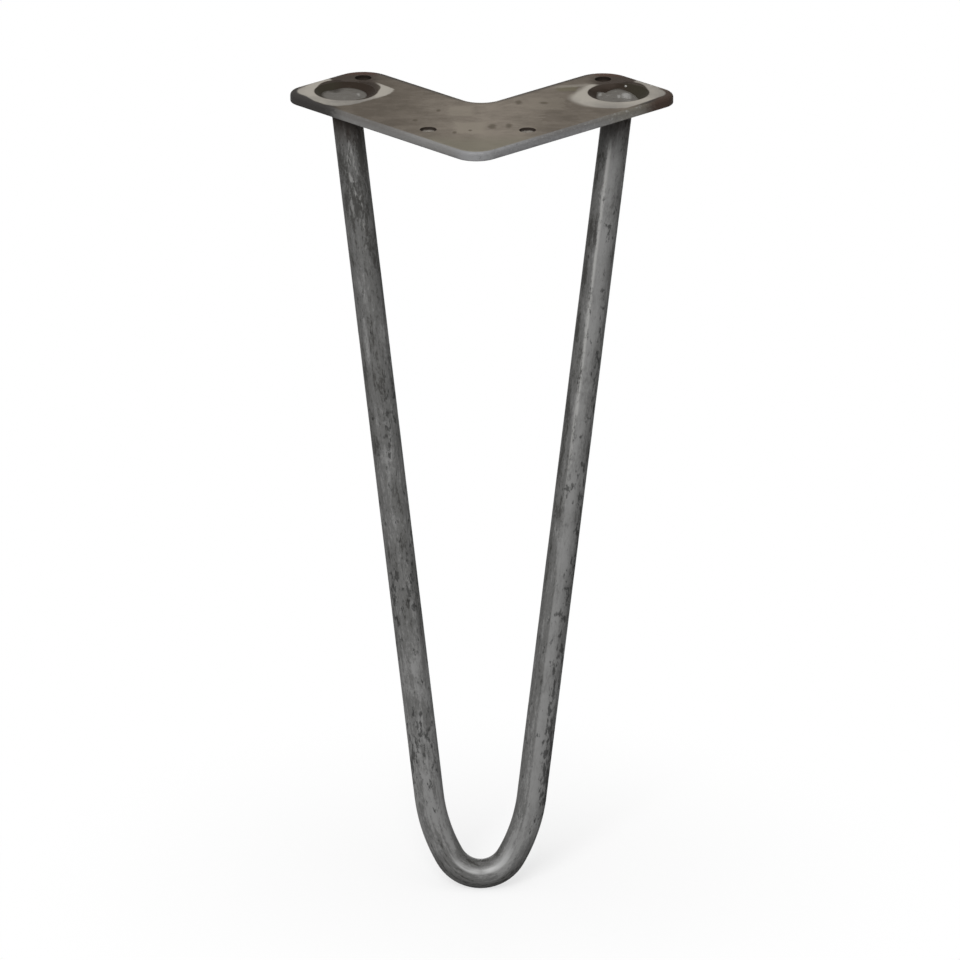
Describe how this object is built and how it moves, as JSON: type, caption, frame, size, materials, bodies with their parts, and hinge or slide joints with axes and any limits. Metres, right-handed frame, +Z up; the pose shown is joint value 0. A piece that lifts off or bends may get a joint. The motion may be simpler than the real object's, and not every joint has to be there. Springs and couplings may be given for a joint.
{
  "type": "hairpin table leg",
  "caption": "Raw steel hairpin table leg: a round bar bent into a narrow leaning V, plug-welded into a chevron mounting plate with screw holes.",
  "frame": {"origin": "on the plate's top face, where the centre lines of its two arms cross", "axes": "+Z up out of the plate's top face, towards the table top; -Y towards the plate's outer corner, the way the foot leans; X across the leg, with the YZ plane as its mirror plane"},
  "size_m": [0.1214, 0.0816, 0.254],
  "materials": {
    "plate_steel": "raw hot-rolled scale, ground bare around the sockets, heat-tinted at the arm ends",
    "rod_steel": "raw drawn bar, satin with dark mottled scale along its length",
    "weld_metal": "rough grey weld pool"
  },
  "bodies": {
    "root": {"mounting_plate": "plate_steel", "hairpin_rod": "rod_steel", "plug_weld_left": "weld_metal", "plug_weld_right": "weld_metal"}
  },
  "joints": []
}
